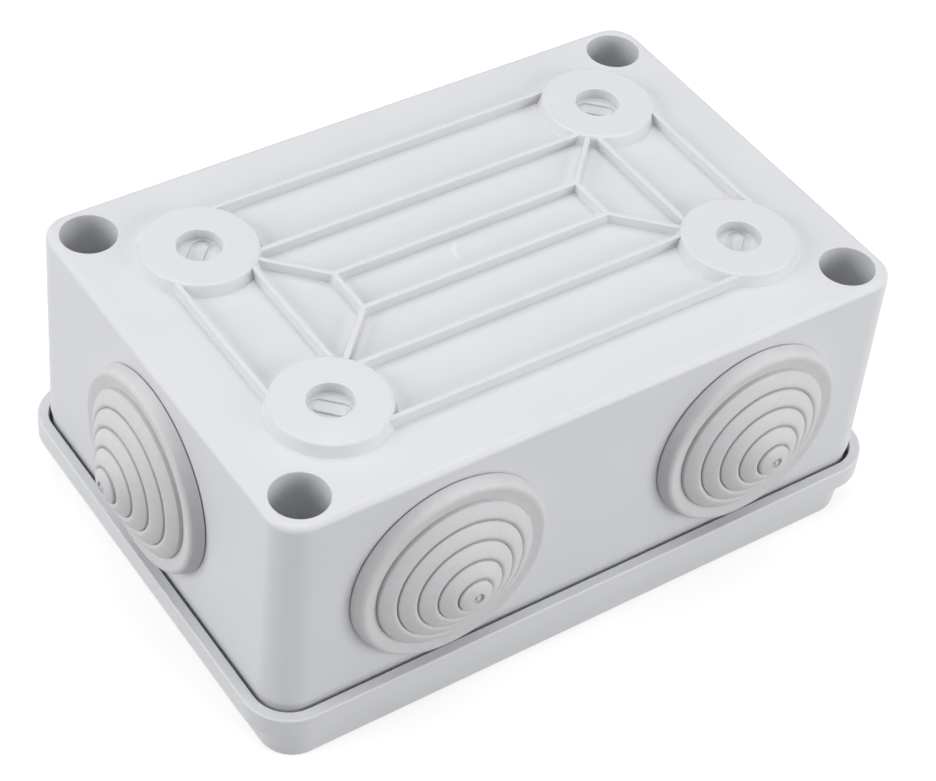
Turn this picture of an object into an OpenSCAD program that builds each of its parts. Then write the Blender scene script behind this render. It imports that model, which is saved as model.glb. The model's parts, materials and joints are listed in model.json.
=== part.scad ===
// Surface-mounting junction box, standing on its lid with the mounting back upwards.
// The origin is the middle of the lid's face, +Z points to the back, +X along the long side.

/* [Housing] */
// Length of the housing at its open edge
base_length = 119.2; // [112:0.2:160]
// Width of the housing at its open edge
base_width = 80.2; // [77:0.2:120]
// Depth of the housing from its open edge to the back
base_depth = 40.55; // [39.5:0.05:70]
// Outer corner radius at the open edge
corner_r = 5.9; // [5.4:0.1:7]
// Lean of the outer walls for release from the mould, in degrees
draft = 0.9; // [0.3:0.1:1.5]
// Thickness of the side walls
wall = 2; // [1.6:0.1:2.6]
// Thickness of the back
back_t = 2; // [1.6:0.1:3]
// Rounding of the edge round the back
back_edge_r = 1.2; // [0.6:0.1:1.6]
// Radius of the faint dish that the moulding gate leaves in the middle of the back
gate_r = 3; // [2:0.1:3.6]
// Depth of the gate's dish
gate_depth = 0.12; // [0.05:0.01:0.3]

/* [Corner posts] */
// Distance of a corner post's axis from the outside of the walls at the open edge
post_in = 7.1; // [6.9:0.1:7.6]
// Radius of the open tube in each corner of the back
post_bore_r = 4.72; // [4:0.02:4.9]
// Wall of a corner post
post_wall = 1.7; // [1.2:0.1:2.2]
// Depth of the lid screw's socket from the open edge
socket_depth = 13; // [12:0.5:18]
// Web between a lid screw's socket and the tube from the back
post_web = 2; // [1:0.5:4]

/* [Pads on the back] */
// Distance from a corner post to a pad, along the length
pad_from_post_x = 13.1; // [12:0.1:18]
// Distance from a corner post to a pad, along the width
pad_from_post_y = 12.9; // [12:0.1:15]
// Radius of a pad at its top
pad_r = 9.6; // [8.5:0.05:11]
// Widening of a pad from its top to its foot
pad_flare = 0.75; // [0.2:0.05:1.2]
// Height of a pad above the back
pad_h = 2.13; // [1.9:0.01:3]
// Rounding of a pad's top edge
pad_edge_r = 0.5; // [0.2:0.1:0.8]
// Radius of the recess in a pad
recess_r = 3.78; // [3.7:0.02:4]
// Depth of the recess in a pad
recess_depth = 1.6; // [0.8:0.1:2]
// Length of the knock-out in the recess's floor
knockout_l = 7.2; // [5:0.1:7.3]
// Width of the knock-out, outside its groove
knockout_w = 3.6; // [3:0.1:4.4]
// Width of the groove round the knock-out
knockout_groove_w = 0.9; // [0.5:0.1:1.2]
// Depth of the groove round the knock-out
knockout_groove_d = 0.35; // [0.2:0.05:1]

/* [Ribs on the back] */
// Width of a rib at its top
rib_w = 0.9; // [0.6:0.1:1.4]
// Height of a rib above the back
rib_h = 1.8; // [1:0.1:1.85]
// Widening of a rib from its top to its foot, on each side
rib_flare = 0.12; // [0:0.02:0.3]
// Distance of the outer frame of ribs from the pads' middles, outwards
rib_out = 7.4; // [6.5:0.1:8]
// Distance of the second frame of ribs from the pads' middles, inwards
rib_in = 5.2; // [5:0.1:6]
// Distance from the second frame of ribs to the innermost one
rib_pitch = 10.4; // [6:0.1:12]

/* [Cable entries] */
// Distance from a corner post to the nearest entry on a long wall
entry_from_post = 23.2; // [23.2:0.1:26]
// Height of an entry's middle above the open edge
entry_h = 19.6; // [18.8:0.1:20.4]
// Radius of a grommet's flange where it lies on the wall
flange_r = 17.7; // [17:0.1:18]
// Thickness of a grommet's flange
flange_t = 2.6; // [1.8:0.1:3.2]
// Narrowing of the flange from the wall to its crest
flange_lean = 0.4; // [0.2:0.05:0.8]
// Break of the flange's outer edge
flange_edge = 0.35; // [0.2:0.05:0.6]
// Fall of the flange's face from its crest to the first step
flange_dish = 0.2; // [0.1:0.05:0.8]
// Radius of the largest step of a grommet
step_r = 14.2; // [13.6:0.1:14.6]
// Narrowing from one step to the next
step_in = 2.82; // [2.4:0.02:2.9]
// Rise from one step to the next
step_h = 1.33; // [1.1:0.01:1.6]
// Number of steps
step_count = 5; // [3:1:5]
// Height of the upright lip at each step's foot
step_lip = 0.5; // [0.3:0.02:0.6]
// Break of each lip's edge
step_edge = 0.15; // [0.05:0.05:0.2]
// Bulge of the sloping band between a lip and the next step
band_bulge = 0.12; // [0:0.02:0.2]
// Width of the valley that falls to each step's foot
crease_w = 0.7; // [0.3:0.05:0.9]
// Depth of that valley
crease_d = 0.3; // [0.1:0.05:0.4]
// Height of the upright lip of the last step, which forms the tip
tip_lip = 0.75; // [0.5:0.05:1]
// Height of a grommet's tip above its last step's foot
tip_h = 1.25; // [1.1:0.01:1.9]
// Thickness of a grommet's skin behind its lips
skin_t = 1.2; // [0.8:0.1:1.3]
// Radius of the ring-shaped dimple in a grommet's tip
dimple_r = 1; // [0.8:0.1:1.3]
// Depth of that dimple
dimple_d = 0.4; // [0.2:0.05:0.6]
// Radius of the nub in the middle of the dimple
nub_r = 0.4; // [0.2:0.05:0.5]
// Radius of a grommet's neck in the wall
neck_r = 15; // [14.8:0.1:15.4]
// Radius of the bead that holds a grommet inside the wall
bead_r = 16.2; // [15.8:0.1:16.4]
// Width of that bead along the grommet
bead_w = 1.8; // [1.2:0.1:2.4]

/* [Lid] */
// Height of the raised panel on the lid's face
panel_h = 6.4; // [5.6:0.1:9]
// Height of the lid's rim
rim_h = 4.3; // [4:0.1:8]
// Distance that the rim stands out past the housing
rim_out = 2.3; // [2:0.05:3]
// Rounding of the rim's edge beside the housing
rim_edge_r = 0.35; // [0.2:0.05:0.8]
// Rounding of the rim's edge beside the panel
rim_foot_r = 0.3; // [0.2:0.1:0.6]
// Step from the rim to the panel at the left end
panel_in_left = 2.65; // [2:0.05:3.4]
// Step from the rim to the panel at the right end
panel_in_right = 4.3; // [2:0.05:4.4]
// Step from the rim to the panel along the sides
panel_in_y = 1.25; // [0.9:0.05:2.5]
// Corner radius of the panel
panel_r = 5.8; // [5:0.1:8]
// Lean of the panel's sides over their height
panel_lean = 0.4; // [0.2:0.05:0.8]
// Rounding of the panel's edge
panel_edge_r = 0.6; // [0.4:0.1:1.5]
// Thickness of the lid's face
lid_t = 2.4; // [2:0.1:3.2]
// Thickness of the lip between the seal's groove and the lid's hollow
lip_t = 1.8; // [1.4:0.1:2.1]

/* [Seal] */
// Room between the housing's open edge and the lid's lip
seam = 0.35; // [0.2:0.05:0.6]
// Width of the tongue that carries the walls' outside down into the lid's groove
tongue_w = 1; // [0.8:0.1:1.2]
// Height of that tongue
tongue_h = 1.85; // [1.5:0.05:2.2]
// Height of the gasket
gasket_h = 1.5; // [1:0.1:2]

/* [Lid screws] */
// Radius of a screw's head
head_r = 3.7; // [3.5:0.1:3.8]
// Height of a screw's head
head_h = 3; // [2:0.1:3.4]
// Distance of the head below the lid's face
head_in = 0.4; // [0.2:0.1:1]
// Chamfer round a screw's head
head_edge = 0.3; // [0.1:0.1:0.6]
// Width of the driver slot
slot_w = 1.3; // [0.8:0.1:1.8]
// Depth of the driver slot
slot_d = 1.5; // [0.8:0.1:1.8]
// Radius of a screw's shank
shank_r = 3; // [2.4:0.1:3.2]
// Reach of the shank past the housing's open edge
shank_reach = 11; // [6:0.5:11.5]
// Chamfer at the shank's tip
shank_tip = 0.8; // [0.4:0.1:1.2]
// Wall round a screw in the lid
boss_wall = 1.3; // [1:0.1:1.6]

/* [Clearances] */
// Room between the tongue and the groove's sides
groove_gap = 0.35; // [0.3:0.05:0.45]
// Room between the gasket and the groove's sides
gasket_gap = 0.1; // [0.05:0.05:0.2]
// Room round a screw's head
head_gap = 0.3; // [0.2:0.05:0.5]
// Room round a screw's shank
shank_gap = 0.3; // [0.2:0.05:0.5]
// Room round a grommet's neck
neck_gap = 0.15; // [0.1:0.05:0.3]
// Room between a grommet's bead and the wall
bead_gap = 0.15; // [0.1:0.05:0.3]

/* [Hidden] */
$fn = 64;
shell_grey = "#D5D7DA";
rubber_grey = "#C8C6C4";
seal_black = "#3A3B3D";
// Small overshoot that lets cuts run clear of a face
cut = 1;
// Middles of the rounded corners, and the rectangle through them that the walls are swept round
corner_x = base_length / 2 - corner_r;
corner_y = base_width / 2 - corner_r;
walls_half = [corner_x, corner_y];
// Middles of the corner posts
post_x = base_length / 2 - post_in;
post_y = base_width / 2 - post_in;
// Heights from the lid's face upwards
ledge_z = panel_h + rim_h;
edge_z = ledge_z + seam;
back_z = edge_z + base_depth;
floor_z = back_z - back_t;
tongue_z = edge_z - tongue_h;
groove_z = tongue_z - gasket_h;
head_z = head_in + head_h;
entry_z = edge_z + entry_h;
// Distances outwards from the rectangle through the corners' middles
lean = tan(draft);
wall_across = wall / cos(draft);
back_r = corner_r - base_depth * lean;
inner_r = corner_r - wall_across;
inner_back_r = inner_r - (base_depth - back_t) * lean;
tongue_outer = corner_r + tongue_h * lean;
tongue_inner = corner_r - tongue_w;
groove_outer = tongue_outer + groove_gap;
groove_inner = tongue_inner - groove_gap;
rim_r = corner_r + rim_out;
hollow_r = groove_inner - lip_t;
// Middles of the pads, and the three frames of ribs as half sizes
pad_x = post_x - pad_from_post_x;
pad_y = post_y - pad_from_post_y;
outer_frame = [pad_x + rib_out, pad_y + rib_out];
second_frame = [pad_x - rib_in, pad_y - rib_in];
inner_frame = second_frame - [rib_pitch, rib_pitch];
// Middle of a cable entry on a long wall, and the wall's place at that height
entry_x = post_x - entry_from_post;
entry_wall = corner_r - entry_h * lean;
well_r = head_r + head_gap;
shank_hole_r = shank_r + shank_gap;

function step_radius(i) = step_r - i * step_in;
function step_foot(i) = flange_t - flange_dish + i * step_h;

// Sweeps a profile of distance and height round a rectangle of half sizes [x, y] with rounded corners
module sweep_round(half) {
    for (side = [0, 180]) {
        rotate([0, 0, side]) {
            translate([half.x, 0, 0]) run_straight(2 * half.y) children();
            rotate([0, 0, 90]) translate([half.y, 0, 0]) run_straight(2 * half.x) children();
            translate([half.x, half.y, 0]) rotate_extrude(angle = 90) children();
            translate([-half.x, half.y, 0]) rotate([0, 0, 90]) rotate_extrude(angle = 90) children();
        }
    }
}

// One straight run of a swept profile, along Y
module run_straight(length) {
    translate([0, length / 2, 0]) rotate([90, 0, 0]) linear_extrude(length) children();
}

// A solid block with rounded corners: a profile that starts at 0, swept round and filled in the middle
module round_block(half, z0, z1) {
    sweep_round(half) children();
    translate([-half.x, -half.y, z0]) cube([2 * half.x, 2 * half.y, z1 - z0]);
}

// Four copies, one in each corner of a rectangle of half sizes [x, y]
module at_corners(half) {
    for (x = [-1, 1], y = [-1, 1]) translate([x * half.x, y * half.y, 0]) children();
}

// Profile from 0 to a leaning outer wall, with its top edge rounded
module leaning_profile(r0, r1, z0, z1, edge_r) {
    slope = atan((r0 - r1) / (z1 - z0));
    middle = [r1 + edge_r * tan(slope) - edge_r / cos(slope), z1 - edge_r];
    union() {
        polygon([
            [0, z0], [r0, z0],
            middle + edge_r * [cos(slope), sin(slope)],
            middle, [middle.x, z1], [0, z1]
        ]);
        translate(middle) circle(edge_r);
    }
}

// Profile from 0 to an upright outer wall, with its top and foot edges rounded
module upright_profile(r, z0, z1, top_r, foot_r) {
    union() {
        polygon([
            [0, z0], [r - foot_r, z0], [r - foot_r, z0 + foot_r], [r, z0 + foot_r],
            [r, z1 - top_r], [r - top_r, z1 - top_r], [r - top_r, z1], [0, z1]
        ]);
        translate([r - foot_r, z0 + foot_r]) circle(foot_r);
        translate([r - top_r, z1 - top_r]) circle(top_r);
    }
}

// Square ring profile between two distances and two heights
module ring_profile(r0, r1, z0, z1) {
    translate([r0, z0]) square([r1 - r0, z1 - z0]);
}

// Places a piece on a wall, its own Z pointing straight out of the wall's outer face
module on_wall(turn, half_span, along) {
    rotate([0, 0, turn])
        translate([along, -(half_span + entry_wall), entry_z])
            rotate([90 - draft, 0, 0])
                children();
}

// Runs something at each of the six cable entries
module at_entries() {
    for (turn = [0, 180], side = [-1, 1]) on_wall(turn, corner_y, side * entry_x) children();
    for (turn = [-90, 90]) on_wall(turn, corner_x, 0) children();
}

// Outer form of the housing, down to the foot of its tongue
module base_outside() {
    round_block(walls_half, tongue_z, back_z)
        leaning_profile(tongue_outer, back_r, tongue_z, back_z, back_edge_r);
}

// Room inside the tongue, which leaves the tongue standing below the open edge
module tongue_room() {
    round_block(walls_half, tongue_z - cut, edge_z)
        ring_profile(0, tongue_inner, tongue_z - cut, edge_z);
}

// Hollow of the housing, with the corner posts left standing
module base_hollow() {
    difference() {
        round_block(walls_half, edge_z - cut, floor_z)
            polygon([
                [0, edge_z - cut], [inner_r + cut * lean, edge_z - cut],
                [inner_back_r, floor_z], [0, floor_z]
            ]);
        at_corners([post_x, post_y])
            translate([0, 0, edge_z - 2 * cut])
                cylinder(r = post_bore_r + post_wall, h = base_depth + 3 * cut);
    }
}

// Shallow round dish at the moulding gate, cut by a large ball
module gate_dish() {
    ball_r = (gate_r * gate_r + gate_depth * gate_depth) / (2 * gate_depth);
    translate([0, 0, back_z])
        intersection() {
            translate([0, 0, ball_r - gate_depth]) sphere(ball_r);
            cylinder(r = gate_r + cut, h = 2 * gate_depth, center = true);
        }
}

// Round pad that the box stands off the wall with, its flared side running on into the back
module pad() {
    foot = back_t / 2;
    foot_r = pad_r + pad_flare * (pad_h + foot) / pad_h;
    translate([0, 0, back_z])
        rotate_extrude()
            intersection() {
                leaning_profile(foot_r, pad_r, -foot, pad_h, pad_edge_r);
                translate([0, -foot]) square([foot_r, foot + pad_h]);
            }
}

// Long slot outline with round ends
module slot_outline(length, width) {
    square([length - width, width], center = true);
    for (x = [-1, 1]) translate([x * (length - width) / 2, 0]) circle(width / 2);
}

// Groove round the knock-out in a pad's recess
module knockout_groove() {
    translate([0, 0, back_z + pad_h - recess_depth - knockout_groove_d])
        linear_extrude(knockout_groove_d + cut)
            difference() {
                slot_outline(knockout_l, knockout_w);
                slot_outline(knockout_l - 2 * knockout_groove_w, knockout_w - 2 * knockout_groove_w);
            }
}

// One rib on the back between two points
module rib(from, to) {
    reach = to - from;
    foot = back_t / 2;
    translate([from.x, from.y, back_z])
        rotate([90, 0, atan2(reach.y, reach.x) + 90])
            linear_extrude(norm(reach))
                polygon([
                    [-rib_w / 2 - rib_flare, -foot], [rib_w / 2 + rib_flare, -foot],
                    [rib_w / 2 + rib_flare, 0], [rib_w / 2, rib_h],
                    [-rib_w / 2, rib_h], [-rib_w / 2 - rib_flare, 0]
                ]);
}

// Frames of ribs from pad to pad, and the innermost frame with its four diagonals
module ribs() {
    mitre = [rib_w / 2, 0];
    for (s = [-1, 1]) {
        for (frame = [outer_frame, second_frame]) {
            rib([-pad_x, s * frame.y], [pad_x, s * frame.y]);
            rib([s * frame.x, -pad_y], [s * frame.x, pad_y]);
        }
        rib([-inner_frame.x, s * inner_frame.y] - mitre, [inner_frame.x, s * inner_frame.y] + mitre);
        rib([s * inner_frame.x, -inner_frame.y], [s * inner_frame.x, inner_frame.y]);
        for (t = [-1, 1]) {
            pad_edge = [pad_x, pad_y] - (pad_r - rib_w) * [cos(45), sin(45)];
            rib([s * inner_frame.x, t * inner_frame.y], [s * pad_edge.x, t * pad_edge.y]);
        }
    }
}

// Housing: one moulding with posts, pads, ribs, entry holes and the tongue on its open edge
module base() {
    color(shell_grey)
        difference() {
            union() {
                difference() {
                    base_outside();
                    base_hollow();
                    tongue_room();
                }
                at_corners([pad_x, pad_y]) pad();
                ribs();
            }
            at_corners([post_x, post_y]) {
                translate([0, 0, tongue_z - cut])
                    cylinder(r = shank_hole_r, h = socket_depth + tongue_h + cut);
                translate([0, 0, edge_z + socket_depth + post_web])
                    cylinder(r = post_bore_r, h = base_depth - socket_depth - post_web + cut);
            }
            at_corners([pad_x, pad_y])
                translate([0, 0, back_z + pad_h - recess_depth])
                    cylinder(r = recess_r, h = recess_depth + cut);
            for (x = [-1, 1], y = [-1, 1])
                translate([x * pad_x, y * pad_y, 0]) rotate([0, 0, -45 * x * y]) knockout_groove();
            at_entries()
                translate([0, 0, -2 * wall])
                    cylinder(r = neck_r + neck_gap, h = 3 * wall);
            gate_dish();
        }
}

// Lid: raised panel, rim, seal groove and the four wells for the screws
module lid() {
    panel_in_x = (panel_in_left + panel_in_right) / 2;
    panel_half = [corner_x + rim_r - panel_in_x - panel_r, corner_y + rim_r - panel_in_y - panel_r];
    panel_top = panel_h + rim_foot_r;
    color(shell_grey)
        difference() {
            union() {
                translate([panel_in_left - panel_in_x, 0, 0])
                    round_block(panel_half, 0, panel_top)
                        translate([0, panel_top])
                            mirror([0, 1])
                                leaning_profile(panel_r + panel_lean, panel_r, 0, panel_top, panel_edge_r);
                round_block(walls_half, panel_h, ledge_z)
                    upright_profile(rim_r, panel_h, ledge_z, rim_edge_r, rim_foot_r);
            }
            difference() {
                round_block(walls_half, lid_t, ledge_z + cut)
                    translate([0, lid_t]) square([hollow_r, ledge_z + cut - lid_t]);
                at_corners([post_x, post_y]) cylinder(r = well_r + boss_wall, h = ledge_z + 2 * cut);
            }
            sweep_round(walls_half)
                ring_profile(groove_inner, groove_outer, groove_z, ledge_z + cut);
            at_corners([post_x, post_y]) {
                translate([0, 0, -cut]) cylinder(r = well_r, h = head_z + cut);
                cylinder(r = shank_hole_r, h = ledge_z + cut);
            }
        }
}

// Gasket in the lid's groove, under the housing's tongue
module lid_gasket() {
    color(seal_black)
        sweep_round(walls_half)
            ring_profile(groove_inner + gasket_gap, groove_outer - gasket_gap, groove_z, tongue_z);
}

// Half section of a grommet: sloping steps, flange, neck and bead outside, a plain cone inside
module grommet_section() {
    last = step_count - 1;
    tip_z = step_foot(last) + tip_h;
    bead_z = -(wall + bead_gap);
    end_z = bead_z - bead_w;
    tip = [[0, tip_z], [nub_r, tip_z], [(nub_r + dimple_r) / 2, tip_z - dimple_d]];
    crests = [
        for (i = [0 : last])
            i == last ? [dimple_r, tip_z] : [step_radius(i + 1) + crease_w, step_foot(i + 1) + crease_d]
    ];
    lips = [
        for (i = [0 : last])
            [step_radius(i) - step_edge, step_foot(i) + (i == last ? tip_lip : step_lip)]
    ];
    steps = [
        for (i = [last : -1 : 0], corner = [0 : 4])
            corner == 0 ? crests[i]
            : corner == 1 ? (crests[i] + lips[i]) / 2 + [0, band_bulge]
            : corner == 2 ? lips[i]
            : corner == 3 ? lips[i] + [step_edge, -step_edge]
            : [step_radius(i), step_foot(i)]
    ];
    flange = [
        [flange_r - flange_lean - flange_edge, flange_t], [flange_r - flange_lean, flange_t - flange_edge],
        [flange_r, 0], [neck_r, 0]
    ];
    bead = [[neck_r, bead_z], [bead_r, bead_z], [bead_r, bead_z - bead_w / 3], [neck_r, end_z]];
    hollow = [
        [step_radius(0) - skin_t, end_z], [step_radius(0) - skin_t, step_foot(0)],
        [step_radius(last) - skin_t, step_foot(last)], [0, step_foot(last)]
    ];
    polygon(concat(tip, steps, flange, bead, hollow));
}

// Grommet in its hole on one wall
module grommet(turn, half_span, along) {
    color(rubber_grey)
        on_wall(turn, half_span, along)
            rotate_extrude() grommet_section();
}

// Slotted lid screw in one corner, turned from one profile
module screw(x, y) {
    tip_z = edge_z + shank_reach;
    color(shell_grey)
        translate([x * post_x, y * post_y, 0])
            difference() {
                rotate_extrude()
                    polygon([
                        [0, head_in], [head_r - head_edge, head_in], [head_r, head_in + head_edge],
                        [head_r, head_z], [shank_r, head_z], [shank_r, tip_z - shank_tip],
                        [shank_r - shank_tip, tip_z], [0, tip_z]
                    ]);
                translate([-head_r - cut, -slot_w / 2, head_in - cut])
                    cube([2 * (head_r + cut), slot_w, slot_d + cut]);
            }
}

base();
lid();
lid_gasket();
grommet(0, corner_y, -entry_x);  // grommet_front_left
grommet(0, corner_y, entry_x);  // grommet_front_right
grommet(180, corner_y, entry_x);  // grommet_back_left
grommet(180, corner_y, -entry_x);  // grommet_back_right
grommet(-90, corner_x, 0);  // grommet_left_end
grommet(90, corner_x, 0);  // grommet_right_end
screw(-1, -1);  // screw_front_left
screw(1, -1);  // screw_front_right
screw(-1, 1);  // screw_back_left
screw(1, 1);  // screw_back_right
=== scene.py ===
# Grey junction box standing on its lid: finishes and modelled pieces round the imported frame
import json
import math

import bmesh
import bpy
from mathutils import Matrix, Vector

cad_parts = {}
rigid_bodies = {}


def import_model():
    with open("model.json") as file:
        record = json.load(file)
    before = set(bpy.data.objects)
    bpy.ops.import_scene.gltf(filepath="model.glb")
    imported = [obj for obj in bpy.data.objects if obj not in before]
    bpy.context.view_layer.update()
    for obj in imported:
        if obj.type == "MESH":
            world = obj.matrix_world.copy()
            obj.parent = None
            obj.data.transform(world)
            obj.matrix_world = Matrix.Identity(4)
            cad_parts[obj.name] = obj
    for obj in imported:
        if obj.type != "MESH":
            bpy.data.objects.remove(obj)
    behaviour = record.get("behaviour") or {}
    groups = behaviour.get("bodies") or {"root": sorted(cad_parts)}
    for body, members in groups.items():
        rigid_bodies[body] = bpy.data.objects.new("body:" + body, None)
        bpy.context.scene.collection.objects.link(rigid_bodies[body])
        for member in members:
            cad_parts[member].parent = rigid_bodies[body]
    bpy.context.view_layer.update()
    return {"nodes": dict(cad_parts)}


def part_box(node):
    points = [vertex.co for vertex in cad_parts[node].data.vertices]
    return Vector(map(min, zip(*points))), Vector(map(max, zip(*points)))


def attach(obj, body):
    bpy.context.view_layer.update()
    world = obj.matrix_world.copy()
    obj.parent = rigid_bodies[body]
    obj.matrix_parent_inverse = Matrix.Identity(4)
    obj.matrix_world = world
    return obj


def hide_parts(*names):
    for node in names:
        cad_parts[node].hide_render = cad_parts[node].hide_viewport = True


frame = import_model()
mm = 0.001
print("frame loaded:", len(frame["nodes"]), "nodes")


# Small helpers for working the way one does by hand

def deselectAll():
    if bpy.context.object and bpy.context.object.mode != "OBJECT":
        bpy.ops.object.mode_set(mode="OBJECT")
    bpy.ops.object.select_all(action="DESELECT")


def pick(piece):
    deselectAll()
    piece.select_set(True)
    bpy.context.view_layer.objects.active = piece


def applyModifier(piece, kind, **settings):
    pick(piece)
    modifier = piece.modifiers.new(kind.title(), kind)
    for key, value in settings.items():
        setattr(modifier, key, value)
    bpy.ops.object.modifier_apply(modifier=modifier.name)


def smoothByAngle(piece, degrees):
    pick(piece)
    bpy.ops.object.shade_smooth_by_angle(angle=math.radians(degrees))


def pickCorners(piece, wanted):
    # Selects the corners that pass the test, in edit mode
    shape = bmesh.from_edit_mesh(piece.data)
    bpy.ops.mesh.select_all(action="DESELECT")
    for corner in shape.verts:
        corner.select_set(wanted(corner.co))
    bmesh.update_edit_mesh(piece.data)


def pickOuterEdges(piece, degrees, wanted):
    # Selects the convex edges that turn by more than this and pass the test, in edit mode
    shape = bmesh.from_edit_mesh(piece.data)
    bpy.ops.mesh.select_all(action="DESELECT")
    for edge in shape.edges:
        if edge.calc_face_angle_signed(0) > math.radians(degrees) and wanted(edge):
            edge.select_set(True)
    bmesh.update_edit_mesh(piece.data)


def pushAlong(points, sides, name):
    # Pushes one round face along a half section of (radius, height) points, closed at both ends
    deselectAll()
    radius, height = points[0]
    bpy.ops.mesh.primitive_circle_add(
        vertices=sides, radius=radius * mm, fill_type="NGON", location=(0, 0, height * mm))
    piece = bpy.context.object
    piece.name = name
    bpy.ops.object.mode_set(mode="EDIT")
    bpy.ops.mesh.select_all(action="SELECT")
    for nextRadius, nextHeight in points[1:]:
        rise = (nextHeight - height) * mm
        bpy.ops.mesh.extrude_region_move(TRANSFORM_OT_translate={"value": (0, 0, rise)})
        grow = nextRadius / radius
        bpy.ops.transform.resize(value=(grow, grow, 1), center_override=(0, 0, nextHeight * mm))
        radius, height = nextRadius, nextHeight
    bpy.ops.mesh.select_all(action="SELECT")
    bpy.ops.mesh.normals_make_consistent(inside=False)
    bpy.ops.object.mode_set(mode="OBJECT")
    bpy.ops.object.transform_apply(location=True, rotation=True, scale=True)
    return piece


def roundedCorner(middle, radius, startDegrees, endDegrees, count=5):
    swing = endDegrees - startDegrees
    angles = [math.radians(startDegrees + swing * i / count) for i in range(count + 1)]
    return [(middle[0] + radius * math.cos(a), middle[1] + radius * math.sin(a)) for a in angles]


# Finishes

def toLinear(hexColour):
    channels = [int(hexColour[i:i + 2], 16) / 255 for i in (1, 3, 5)]
    return [c / 12.92 if c <= 0.04045 else ((c + 0.055) / 1.055) ** 2.4 for c in channels] + [1.0]


def addNode(tree, kind, links=(), **settings):
    node = tree.nodes.new(kind)
    for key, value in settings.items():
        if key in node.inputs:
            node.inputs[key].default_value = value
        else:
            setattr(node, key, value)
    for output, inputName in links:
        tree.links.new(output, node.inputs[inputName])
    return node


def patternScale(sizeMm):
    return 1 / (sizeMm * mm)    # noise cells per metre for a pattern of this size


def startMaterial(name):
    material = bpy.data.materials.new(name)
    material.use_nodes = True
    tree = material.node_tree
    shader = tree.nodes["Principled BSDF"]
    place = addNode(tree, "ShaderNodeTexCoord").outputs["Object"]
    return material, tree, shader, place


def mottle(tree, shader, place, light, dark, sizeMm, detail=2.0, low=0.35, high=0.65):
    noise = addNode(
        tree, "ShaderNodeTexNoise", [(place, "Vector")], Scale=patternScale(sizeMm), Detail=detail)
    ramp = addNode(tree, "ShaderNodeValToRGB", [(noise.outputs["Fac"], "Fac")])
    ramp.color_ramp.elements[0].position = low
    ramp.color_ramp.elements[0].color = toLinear(dark)
    ramp.color_ramp.elements[1].position = high
    ramp.color_ramp.elements[1].color = toLinear(light)
    tree.links.new(ramp.outputs["Color"], shader.inputs["Base Color"])


def varyRoughness(tree, shader, place, low, high, sizeMm):
    noise = addNode(tree, "ShaderNodeTexNoise", [(place, "Vector")], Scale=patternScale(sizeMm), Detail=3.0)
    spread = addNode(tree, "ShaderNodeMapRange", [(noise.outputs["Fac"], "Value")])
    spread.inputs["To Min"].default_value = low
    spread.inputs["To Max"].default_value = high
    tree.links.new(spread.outputs["Result"], shader.inputs["Roughness"])


def grainBump(tree, shader, place, sizeMm, depthMm, strength):
    noise = addNode(tree, "ShaderNodeTexNoise", [(place, "Vector")], Scale=patternScale(sizeMm), Detail=2.0)
    bump = addNode(
        tree, "ShaderNodeBump", [(noise.outputs["Fac"], "Height")],
        Strength=strength, Distance=depthMm * mm)
    tree.links.new(bump.outputs["Normal"], shader.inputs["Normal"])


# Mark of the moulding gate in the middle of the back: a shallow dish, and a painted highlight as a light
# crescent on one side
gate = {
    "place": (0, 0, 51.6),
    "dishR": 4.5, "dishLow": 51.4, "dishHigh": 51.9,    # room that holds the dish and its brim
    "crescentR": 3.05, "crescentW": 0.7, "paintedHighlight": "#EFF0F1",
    "share": 0.5,                   # strength of the painted highlight's colour in the crescent's middle
    "toward": (-0.9, 0.43, 0),      # side of the dish that the crescent is on
    "fadeFrom": 1.9, "fadeTo": 3.1,
}


# Paints a highlight into the base colour: a light crescent arc round the gate's dish, fading out away from
# one side
def gatePaintedHighlight(tree, shader, place):
    fromGate = addNode(tree, "ShaderNodeVectorMath", [(place, 0)], operation="SUBTRACT")
    fromGate.inputs[1].default_value = [v * mm for v in gate["place"]]
    reach = addNode(tree, "ShaderNodeVectorMath", [(fromGate.outputs["Vector"], 0)], operation="LENGTH")
    off = addNode(tree, "ShaderNodeMath", [(reach.outputs["Value"], 0)], operation="SUBTRACT")
    off.inputs[1].default_value = gate["crescentR"] * mm
    away = addNode(tree, "ShaderNodeMath", [(off.outputs["Value"], 0)], operation="ABSOLUTE")
    line = addNode(
        tree, "ShaderNodeMapRange", [(away.outputs["Value"], "Value")], interpolation_type="SMOOTHSTEP",
        **{"From Max": gate["crescentW"] * mm, "To Min": gate["share"], "To Max": 0})
    side = addNode(tree, "ShaderNodeVectorMath", [(fromGate.outputs["Vector"], 0)], operation="DOT_PRODUCT")
    side.inputs[1].default_value = gate["toward"]
    arc = addNode(
        tree, "ShaderNodeMapRange", [(side.outputs["Value"], "Value")], interpolation_type="SMOOTHSTEP",
        **{"From Min": gate["fadeFrom"] * mm, "From Max": gate["fadeTo"] * mm})
    share = addNode(tree, "ShaderNodeMath", operation="MULTIPLY")
    tree.links.new(line.outputs["Result"], share.inputs[0])
    tree.links.new(arc.outputs["Result"], share.inputs[1])
    plain = shader.inputs["Base Color"].links[0].from_socket
    paintedHighlight = addNode(
        tree, "ShaderNodeMix", [(share.outputs["Value"], "Factor"), (plain, 6)], data_type="RGBA")
    paintedHighlight.inputs[7].default_value = toLinear(gate["paintedHighlight"])
    tree.links.new(paintedHighlight.outputs[2], shader.inputs["Base Color"])


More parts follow.
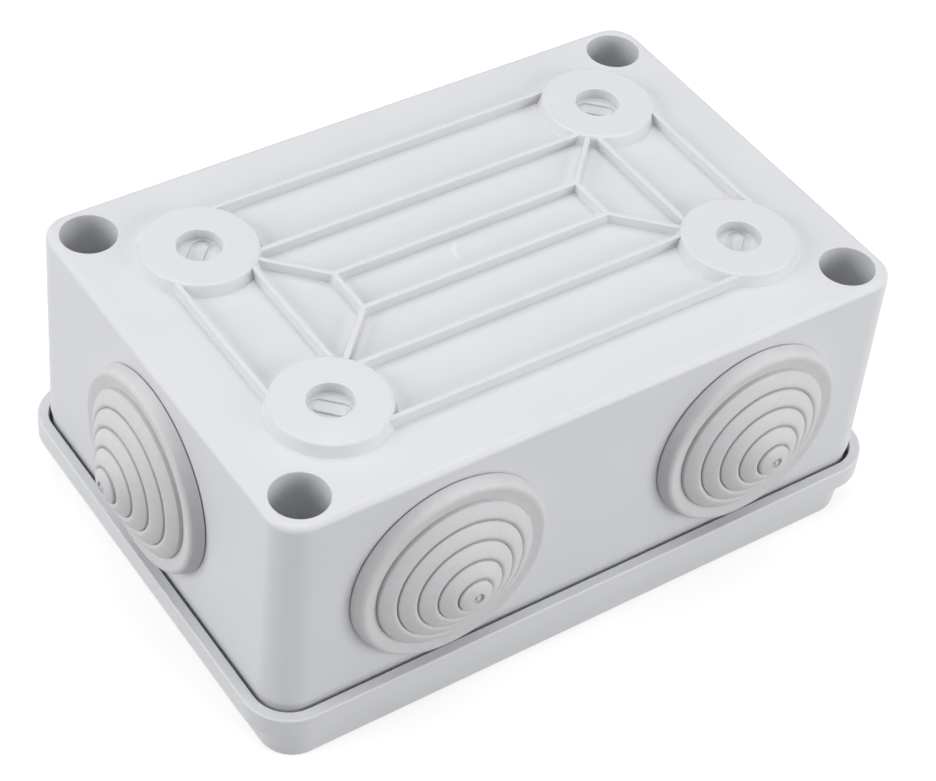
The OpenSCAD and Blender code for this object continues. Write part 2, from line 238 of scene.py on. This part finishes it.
def mouldedAbs():
    # Injection-moulded ABS: even light grey, soft satin gloss and a very fine eroded grain
    material, tree, shader, place = startMaterial("moulded_abs_light_grey")
    shader.inputs["IOR"].default_value = 1.53
    mottle(tree, shader, place, "#DADBDE", "#D8D9DC", 22)
    # painted highlight beside the gate's dish
    gatePaintedHighlight(tree, shader, place)
    varyRoughness(tree, shader, place, 0.4, 0.47, 12)
    grainBump(tree, shader, place, 0.45, 0.02, 0.12)    # coarser than the real grain, so that it shows
    return material


def softRubber():
    # Moulded thermoplastic rubber: warmer grey and duller than the case, faintly clouded
    material, tree, shader, place = startMaterial("moulded_rubber_warm_grey")
    shader.inputs["IOR"].default_value = 1.5
    mottle(tree, shader, place, "#D3D2D4", "#CFCED0", 1.6, detail=3.0, low=0.3, high=0.7)
    varyRoughness(tree, shader, place, 0.56, 0.68, 4)
    grainBump(tree, shader, place, 0.5, 0.03, 0.12)
    return material


def sealRubber():
    # Extruded cellular rubber: dark, matt and slightly open in texture
    material, tree, shader, place = startMaterial("cellular_rubber_dark_grey")
    mottle(tree, shader, place, "#46474A", "#37383A", 0.6, detail=4.0)
    varyRoughness(tree, shader, place, 0.75, 0.9, 1.5)
    grainBump(tree, shader, place, 0.4, 0.06, 0.4)
    return material


def mouldedNylon():
    # Moulded nylon: a touch warmer and glossier than the case
    material, tree, shader, place = startMaterial("moulded_nylon_light_grey")
    shader.inputs["IOR"].default_value = 1.53
    mottle(tree, shader, place, "#D6D7D8", "#CFD0D1", 5)
    varyRoughness(tree, shader, place, 0.32, 0.42, 4)
    grainBump(tree, shader, place, 0.4, 0.02, 0.1)
    return material


finish = {"shell": mouldedAbs(), "grommet": softRubber(), "seal": sealRubber(), "screw": mouldedNylon()}
print("finishes made:", ", ".join(material.name for material in finish.values()))


def finishPiece(piece, body, node, slotName):
    piece.data.materials.clear()
    piece.data.materials.append(finish[slotName])
    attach(piece, body)
    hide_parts(node)


# Mouldings: a merged copy of the CAD solid, with the small edge radii that a mould leaves

mouldings = {
    "base": {"name": "housing_moulding", "body": "housing", "slot": "shell", "edge": 0.18, "segments": 3},
    "lid": {"name": "lid_moulding", "body": "lid", "slot": "shell", "edge": 0.18, "segments": 3},
    "lid_gasket": {"name": "gasket_ring", "body": "lid", "slot": "seal", "edge": 0.3, "segments": 3},
}
# How a copy is merged and which of its edges count, in millimetres and degrees
copying = {"merge": 0.0005, "flat": 0.2, "outer": 38, "smooth": 40}

# Fixing recesses in the pads, whose floors lie as deep as the photo shows them
recess = {
    "padX": 39.4, "padY": 20.1, "floorZ": 52.13, "radius": 3.78,
    "around": 0.05, "below": 1.2, "above": 0.01,    # room round the floor that its corners lie in
    "deeper": 0.4,                  # how far the floor goes below the solid's
    "grooveEdge": 0.16, "segments": 3,              # rounding of the groove round the knock-out
}


def inRecess(point):
    fromPad = math.hypot(abs(point.x) / mm - recess["padX"], abs(point.y) / mm - recess["padY"])
    low, high = recess["floorZ"] - recess["below"], recess["floorZ"] + recess["above"]
    return fromPad < recess["radius"] + recess["around"] and low < point.z / mm < high


def atGate(point):
    # The dish's brim just touches the feet of the inner ribs, and is too thin there to round
    fromMiddle = math.hypot(point.x, point.y)
    return fromMiddle < gate["dishR"] * mm and gate["dishLow"] * mm < point.z < gate["dishHigh"] * mm


def sinkRecesses(piece):
    pickCorners(piece, inRecess)
    bpy.ops.transform.translate(value=(0, 0, -recess["deeper"] * mm))
    pickOuterEdges(piece, copying["outer"], lambda edge: all(inRecess(v.co) for v in edge.verts))
    bpy.ops.mesh.bevel(
        offset=recess["grooveEdge"] * mm, segments=recess["segments"], affect="EDGES", clamp_overlap=False)


# Cove round the foot of the housing's walls, where they turn in before the lid's rim
cove = {
    "halfX": 59.6, "halfY": 40.1, "cornerR": 5.9,    # outline of the walls at their foot
    "skin": 0.5, "slack": 0.02,     # how far inside it and above a height the wall's corners lie
    "turn": (                       # heights, and how far in the wall is there
        (12.6, 0.0), (12.1, 0.03), (11.7, 0.08), (11.3, 0.16), (11.0, 0.23), (10.8, 0.28)),
}


def fromOutline(point):
    # Distance in millimetres from the outline's rounded rectangle, less than nothing inside it
    x = abs(point.x) / mm - cove["halfX"] + cove["cornerR"]
    y = abs(point.y) / mm - cove["halfY"] + cove["cornerR"]
    return math.hypot(max(x, 0), max(y, 0)) + min(max(x, y), 0) - cove["cornerR"]


def turnInFoot(piece):
    for height, _ in cove["turn"]:
        bpy.ops.mesh.select_all(action="SELECT")
        bpy.ops.mesh.bisect(plane_co=(0, 0, height * mm), plane_no=(0, 0, 1))
    turned = 0
    for height, depth in cove["turn"]:
        top, inside = height + cove["slack"], -cove["skin"] - turned
        pickCorners(piece, lambda corner: corner.z / mm < top and fromOutline(corner) > inside)
        shrink = (1 + (turned - depth) / cove["halfX"], 1 + (turned - depth) / cove["halfY"], 1)
        bpy.ops.transform.resize(value=shrink, center_override=(0, 0, 0))
        turned = depth


def softCopy(node, settings):
    pick(frame["nodes"][node])
    bpy.ops.object.duplicate()
    piece = bpy.context.object
    piece.name = settings["name"]
    bpy.ops.object.parent_clear(type="CLEAR_KEEP_TRANSFORM")
    bpy.ops.mesh.customdata_custom_splitnormals_clear()
    bpy.ops.object.mode_set(mode="EDIT")
    bpy.ops.mesh.select_all(action="SELECT")
    bpy.ops.mesh.remove_doubles(threshold=copying["merge"] * mm)
    for across in ((1, 0, 0), (0, 1, 0)):
        bpy.ops.mesh.select_all(action="SELECT")
        bpy.ops.mesh.bisect(plane_co=(0, 0, 0), plane_no=across)
        bpy.ops.mesh.mark_seam(clear=False)
    bpy.ops.mesh.select_all(action="SELECT")
    bpy.ops.mesh.dissolve_limited(angle_limit=math.radians(copying["flat"]), delimit={"SEAM"})
    if node == "base":
        turnInFoot(piece)
    pickOuterEdges(
        piece, copying["outer"], lambda edge: not any(inRecess(v.co) or atGate(v.co) for v in edge.verts))
    bpy.ops.mesh.bevel(
        offset=settings["edge"] * mm, segments=settings["segments"], affect="EDGES", clamp_overlap=False)
    if node == "base":
        sinkRecesses(piece)
    bpy.ops.object.mode_set(mode="OBJECT")
    smoothByAngle(piece, copying["smooth"])
    applyModifier(piece, "WEIGHTED_NORMAL", keep_sharp=True)
    return piece


for node, settings in mouldings.items():
    piece = softCopy(node, settings)
    finishPiece(piece, settings["body"], node, settings["slot"])
    print("moulding:", piece.name, len(piece.data.polygons), "faces")


# Grommets: one face pushed along the half section, from the hollow's tip round to the outer tip

grommet = {
    "sides": 96, "smooth": 40,
    "flangeR": 17.7, "flangeT": 2.6, "flangeLean": 0.4, "flangeEdge": 0.9, "flangeDish": 0.2,
    "flangeTurn": (14, 100, 6),     # rounding of the flange's edge: first and last degree, and its parts
    "faceDip": 0.4,                 # fall of the flange's face to the first step
    "faceFall": ((0.25, 0.3), (0.5, 0.6), (0.75, 0.88), (0.93, 1)),    # shares of the way in and of the fall
    "faceGroove": 0.1,              # width of the groove at the first step's foot
    "stepR": 14.2, "stepIn": 2.82, "stepH": 1.33, "steps": 5, "stepLip": 0.5, "stepEdge": 0.15,
    "stepTurn": (0, 52, 4),         # rounding of each lip, as for the flange
    "bandBulge": 0.12, "bandPoints": 5,
    "creaseW": 0.7, "creaseD": 0.3,
    "valley": ((1, 1), (0.8, 0.94), (0.6, 0.74), (0.4, 0.4), (0.2, 0)),    # shares of its width and depth
    "creaseCut": 0.18,              # how far the crease's narrow groove goes below the step's foot
    "creaseGroove": 0.15,           # the groove's share of the crease's width
    "tipLip": 0.75, "tipH": 1.25, "tipEdge": 0.25,
    "lift": 0.18, "liftIn": 0.7, "liftEdge": 0.1,    # thin gap under the flange's edge, off the wall
    "skin": 1.2, "neckR": 15.0, "beadR": 16.2, "beadW": 1.8, "wall": 2.0, "beadGap": 0.15,
    "dimpleR": 1.05, "dimpleD": 0.7, "dimpleFloor": 0.2,
    "nubR": 0.4, "nubFall": 0.12, "nubTop": 0.6,     # the nub's flat top is a share of its radius
    "lean": 0.9,                    # lean of the wall that it sits on, in degrees
}


def crease(plan, foot):
    # The rounded valley before a step's foot, and the narrow groove at the foot itself
    radius, height = foot
    width, low = plan["creaseW"], height - plan["creaseCut"]
    valley = [(radius + out * width, height + rise * plan["creaseD"]) for out, rise in plan["valley"]]
    return valley + [(radius + plan["creaseGroove"] * width, low), (radius, low)]


def band(plan, lip, end):
    # A convex slope from a lip's rounding up to a brink or to the tip
    points = []
    for i in range(1, plan["bandPoints"] + 1):
        share = i / (plan["bandPoints"] + 1)
        rise = lip[1] + share * (end[1] - lip[1]) + 4 * plan["bandBulge"] * share * (1 - share)
        points.append((lip[0] + share * (end[0] - lip[0]), rise))
    return points


def hollowAndNeck(plan, feet):
    # From the hollow's tip down inside, round the holding bead and out under the flange
    hollowR = feet[0][0] - plan["skin"]
    beadZ = -(plan["wall"] + plan["beadGap"])
    endZ = beadZ - plan["beadW"]
    rim, lift = plan["flangeR"], plan["lift"]
    points = [(feet[-1][0] - plan["skin"], feet[-1][1]), (hollowR, feet[0][1]), (hollowR, endZ)]
    points += [(plan["neckR"], endZ), (plan["beadR"], beadZ - plan["beadW"] / 3), (plan["beadR"], beadZ)]
    points += [(plan["neckR"], beadZ), (plan["neckR"], 0.0)]
    points += [(rim - plan["liftIn"], 0.0), (rim - plan["liftIn"], lift)]
    return points + [(rim - plan["liftEdge"], lift), (rim, lift + plan["liftEdge"])]


def flange(plan, foot):
    # The flange's rounded edge, and its face down to the first step's foot
    edge = plan["flangeEdge"]
    middle = (plan["flangeR"] - plan["flangeLean"] - edge, plan["flangeT"] - edge)
    points = roundedCorner(middle, edge, *plan["flangeTurn"])
    radius, height = points[-1]
    for way, fall in plan["faceFall"]:
        points.append((radius + way * (foot - radius), height - fall * plan["faceDip"]))
    low = height - plan["faceDip"] - plan["creaseCut"] / 2
    return points + [(foot + plan["faceGroove"], low), (foot, low)]


def grommetSection(plan):
    last = plan["steps"] - 1
    firstZ = plan["flangeT"] - plan["flangeDish"]
    feet = [(plan["stepR"] - i * plan["stepIn"], firstZ + i * plan["stepH"]) for i in range(plan["steps"])]
    tipZ = feet[last][1] + plan["tipH"]
    section = hollowAndNeck(plan, feet) + flange(plan, feet[0][0])
    for i, (radius, height) in enumerate(feet):
        edge, lip = (plan["stepEdge"], plan["stepLip"]) if i < last else (plan["tipEdge"], plan["tipLip"])
        section += roundedCorner((radius - edge, height + lip - edge), edge, *plan["stepTurn"])
        brink = crease(plan, feet[i + 1]) if i < last else [(plan["dimpleR"], tipZ)]
        section += band(plan, section[-1], brink[0]) + brink
    ring, half = (plan["nubR"] + plan["dimpleR"]) / 2, plan["dimpleFloor"] / 2
    section += [(ring + half, tipZ - plan["dimpleD"]), (ring - half, tipZ - plan["dimpleD"])]
    return section + [(plan["nubR"], tipZ - plan["nubFall"]), (plan["nubTop"] * plan["nubR"], tipZ)]


# Outward direction of each grommet's wall
walls = {
    "grommet_front_left": (0, -1), "grommet_front_right": (0, -1),
    "grommet_back_left": (0, 1), "grommet_back_right": (0, 1),
    "grommet_left_end": (-1, 0), "grommet_right_end": (1, 0),
}


def placeOnWall(node, plan):
    # The frame's box gives the tip and the middle; the wall's lean turns the axis slightly upwards
    low, high = (Vector(v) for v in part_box(node))
    outward = Vector((*walls[node], 0.0))
    lean = math.radians(plan["lean"])
    axis = outward * math.cos(lean) + Vector((0, 0, math.sin(lean)))
    tipZ = plan["flangeT"] - plan["flangeDish"] + (plan["steps"] - 1) * plan["stepH"] + plan["tipH"]
    reach = (tipZ * math.cos(lean) + plan["dimpleR"] * math.sin(lean)) * mm
    middle = (low + high) / 2
    tip = Vector([most if way > 0 else least if way < 0 else half
                  for least, most, half, way in zip(low, high, middle, outward)])
    seat = tip - outward * reach
    seat.z = middle.z
    turn = axis.to_track_quat("Z", "Y").to_matrix().to_4x4()
    return Matrix.Translation(seat) @ turn


pattern = pushAlong(grommetSection(grommet), grommet["sides"], "grommet_pattern")
smoothByAngle(pattern, grommet["smooth"])
for node in walls:
    pick(pattern)
    bpy.ops.object.duplicate()
    piece = bpy.context.object
    piece.name = node.replace("grommet", "rubber_grommet")
    piece.matrix_world = placeOnWall(node, grommet)
    bpy.ops.object.transform_apply(location=True, rotation=True, scale=True)
    finishPiece(piece, "housing", node, "grommet")
    print("grommet:", piece.name, len(piece.data.polygons), "faces")
pick(pattern)
bpy.ops.object.delete()


# Lid screws: turned from one section, with a driver slot cut across the head

screw = {
    "sides": 48, "smooth": 35,
    "headR": 3.7, "headH": 3.0, "headRound": 0.4,
    "faceIn": 0.6,                  # from the head's rounding to the middle face
    "slotW": 1.3, "slotD": 1.5,
    "cutterL": 11.1, "cutterOut": 2.0,               # the slot's cutter reaches past the head
    "slotRound": 0.12, "roundSegments": 2, "roundAngle": 50,
    "shankR": 3.0, "neckBreak": 0.15, "tipChamfer": 0.8,
}


def screwPiece(node, plan):
    low, high = (Vector(v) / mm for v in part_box(node))
    head = low.z + plan["headH"]
    edge, shank, bevel = plan["headRound"], plan["shankR"], plan["neckBreak"]
    section = [(plan["headR"] - edge - plan["faceIn"], low.z)]
    section += roundedCorner((plan["headR"] - edge, low.z + edge), edge, -90, 0)
    section += [(plan["headR"], head), (shank + bevel, head), (shank, head + bevel)]
    section += [(shank, high.z - plan["tipChamfer"]), (shank - plan["tipChamfer"], high.z)]
    piece = pushAlong(section, plan["sides"], node.replace("screw", "lid_screw"))
    deselectAll()
    slotZ = low.z + plan["slotD"] / 2 - plan["cutterOut"] / 2
    bpy.ops.mesh.primitive_cube_add(size=1, location=(0, 0, slotZ * mm))
    cutter = bpy.context.object
    cutter.scale = (plan["cutterL"] * mm, plan["slotW"] * mm, (plan["slotD"] + plan["cutterOut"]) * mm)
    bpy.ops.object.transform_apply(location=True, rotation=True, scale=True)
    applyModifier(piece, "BOOLEAN", operation="DIFFERENCE", object=cutter, solver="EXACT")
    pick(cutter)
    bpy.ops.object.delete()
    applyModifier(
        piece, "BEVEL", width=plan["slotRound"] * mm, segments=plan["roundSegments"],
        limit_method="ANGLE", angle_limit=math.radians(plan["roundAngle"]))
    smoothByAngle(piece, plan["smooth"])
    pick(piece)
    piece.location = ((low.x + high.x) / 2 * mm, (low.y + high.y) / 2 * mm, 0)
    bpy.ops.object.transform_apply(location=True, rotation=True, scale=True)
    return piece


for node in ("screw_front_left", "screw_front_right", "screw_back_left", "screw_back_right"):
    piece = screwPiece(node, screw)
    finishPiece(piece, node, node, "screw")
    print("screw:", piece.name, len(piece.data.polygons), "faces")


# Studio: white paper floor that keeps the shadow, soft boxes round the object and an even fill

studio = {
    "floorSize": 4.0,
    "floorColour": "#A8A8A8",       # paper as it lights the object
    "floorSeen": "#B4B4B4",         # paper as the camera and gloss see it
    "floorGlow": 0.68,              # lifts the seen paper to plain white and leaves the shadow
    "clearFrom": 0.2, "clearTo": 0.5,    # metres from the object over which the paper turns plain white
    "fill": 0.1,
    "boxes": {
        "softBoxTop": {"place": (0.12, 0.15, 0.9), "size": (1.0, 1.0), "power": 6.25},
        "softBoxLeft": {"place": (-0.85, 0.23, 0.39), "size": (0.7, 0.6), "power": 5.8},
        "softBoxRight": {"place": (0.4, -0.77, 0.3), "size": (0.7, 0.5), "power": 5.1},
    },
    "aim": (0, 0, 0.03),
}


def seenDirectly(tree):
    # 1 for rays from the camera, from gloss or through glass, and 0 for rays that light the object
    rays = addNode(tree, "ShaderNodeLightPath")
    mirror = addNode(tree, "ShaderNodeMath", operation="MAXIMUM")
    tree.links.new(rays.outputs["Is Glossy Ray"], mirror.inputs[0])
    tree.links.new(rays.outputs["Is Transmission Ray"], mirror.inputs[1])
    either = addNode(tree, "ShaderNodeMath", operation="MAXIMUM")
    tree.links.new(rays.outputs["Is Camera Ray"], either.inputs[0])
    tree.links.new(mirror.outputs["Value"], either.inputs[1])
    return either.outputs["Value"]


def floorMaterial():
    # Matt white paper
    material, tree, shader, place = startMaterial("white_paper")
    seen = seenDirectly(tree)
    blend = addNode(tree, "ShaderNodeMix", [(seen, "Factor")], data_type="RGBA")
    blend.inputs[6].default_value = toLinear(studio["floorColour"])
    blend.inputs[7].default_value = toLinear(studio["floorSeen"])
    tree.links.new(blend.outputs[2], shader.inputs["Base Color"])
    reach = addNode(tree, "ShaderNodeVectorMath", [(place, 0)], operation="LENGTH")
    glow = addNode(tree, "ShaderNodeMapRange", [(reach.outputs["Value"], "Value")])
    glow.inputs["From Min"].default_value = studio["clearFrom"]
    glow.inputs["From Max"].default_value = studio["clearTo"]
    glow.inputs["To Min"].default_value = studio["floorGlow"]
    share = addNode(tree, "ShaderNodeMath", [(seen, 0)], operation="MULTIPLY")
    tree.links.new(glow.outputs["Result"], share.inputs[1])
    tree.links.new(share.outputs["Value"], shader.inputs["Emission Strength"])
    shader.inputs["Emission Color"].default_value = (1, 1, 1, 1)
    shader.inputs["Roughness"].default_value = 0.9
    shader.inputs["Specular IOR Level"].default_value = 0.1
    return material


deselectAll()
bpy.ops.mesh.primitive_grid_add(
    x_subdivisions=2, y_subdivisions=2, size=studio["floorSize"], location=(0, 0, 0))
floor = bpy.context.object
floor.name = "paper_floor"
floor.data.materials.append(floorMaterial())

for name, light in studio["boxes"].items():
    deselectAll()
    bpy.ops.object.light_add(type="AREA", location=light["place"])
    lamp = bpy.context.object
    lamp.name = name
    lamp.data.shape = "RECTANGLE"
    lamp.data.size, lamp.data.size_y = light["size"]
    lamp.data.energy = light["power"]
    aim = Vector(studio["aim"]) - Vector(light["place"])
    lamp.rotation_euler = aim.to_track_quat("-Z", "Y").to_euler()

world = bpy.data.worlds.new("studio_world")
world.use_nodes = True
sky = world.node_tree
background = sky.nodes["Background"]
background.inputs["Color"].default_value = (1, 1, 1, 1)
strength = addNode(sky, "ShaderNodeMapRange", [(seenDirectly(sky), "Value")])
strength.inputs["To Min"].default_value = studio["fill"]
strength.inputs["To Max"].default_value = 1.0
sky.links.new(strength.outputs["Result"], background.inputs["Strength"])
bpy.context.scene.world = world
bpy.context.scene.view_settings.view_transform = "Standard"
print("studio lit:", ", ".join(studio["boxes"]))


# Camera at the photograph's place

camera = {
    "place": (-189.06, -243.94, 320.34),    # millimetres
    "turn": (45.58, -4.55, -33.672),        # degrees
    "focalPixels": 2508.1, "imageWidth": 936, "sensor": 36.0,
}
deselectAll()
bpy.ops.object.camera_add(
    location=[v * mm for v in camera["place"]], rotation=[math.radians(v) for v in camera["turn"]])
eye = bpy.context.object
eye.name = "photo_camera"
eye.data.sensor_width = camera["sensor"]
eye.data.lens = camera["focalPixels"] * camera["sensor"] / camera["imageWidth"]
eye.data.clip_start = 0.01
bpy.context.scene.camera = eye
print("camera set")
